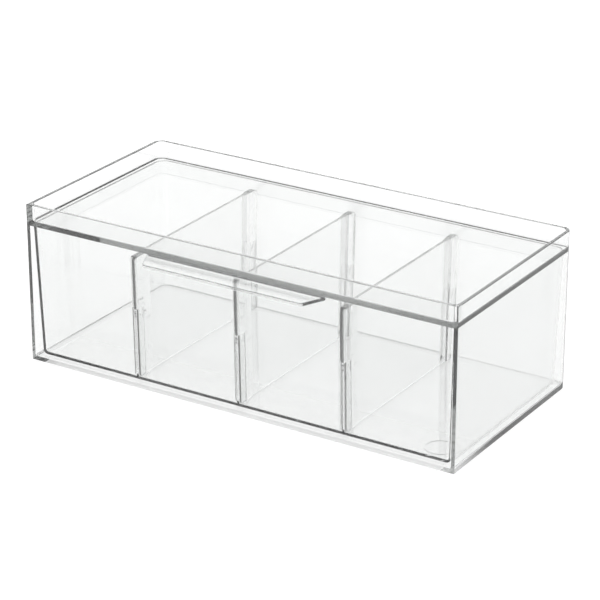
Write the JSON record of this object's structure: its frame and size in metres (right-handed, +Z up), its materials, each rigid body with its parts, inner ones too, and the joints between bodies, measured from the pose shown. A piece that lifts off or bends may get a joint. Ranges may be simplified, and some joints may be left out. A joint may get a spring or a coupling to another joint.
{
  "type": "tea bag drawer box",
  "caption": "Clear plastic box with a stacking rim on top and a pull-out drawer, parted into compartments by removable slot-in dividers.",
  "frame": {"origin": "centre of the casing's flat base, on the surface it stands on", "axes": "+X to the right along the box's length seen from the front, +Y to the back, so the drawer pulls out along -Y, +Z up"},
  "size_m": [0.32, 0.164, 0.11],
  "materials": {
    "casing_plastic": "clear, polished moulding",
    "drawer_plastic": "clear, polished moulding",
    "divider_plastic": "clear, polished moulding"
  },
  "bodies": {
    "casing": {"casing": "casing_plastic"},
    "drawer": {"drawer": "drawer_plastic"},
    "divider_left": {"divider_left": "divider_plastic"},
    "divider_centre": {"divider_centre": "divider_plastic"},
    "divider_right": {"divider_right": "divider_plastic"}
  },
  "joints": [
    {"name": "drawer_slide", "type": "slide", "parent": "casing", "child": "drawer", "axis": [0, -1, 0], "range_m": [0, 0.125]},
    {"name": "divider_left_lift", "type": "slide", "parent": "drawer", "child": "divider_left", "axis": [0, 0, 1], "range_m": [0, 0.006]},
    {"name": "divider_centre_lift", "type": "slide", "parent": "drawer", "child": "divider_centre", "axis": [0, 0, 1], "range_m": [0, 0.006]},
    {"name": "divider_right_lift", "type": "slide", "parent": "drawer", "child": "divider_right", "axis": [0, 0, 1], "range_m": [0, 0.006]}
  ]
}
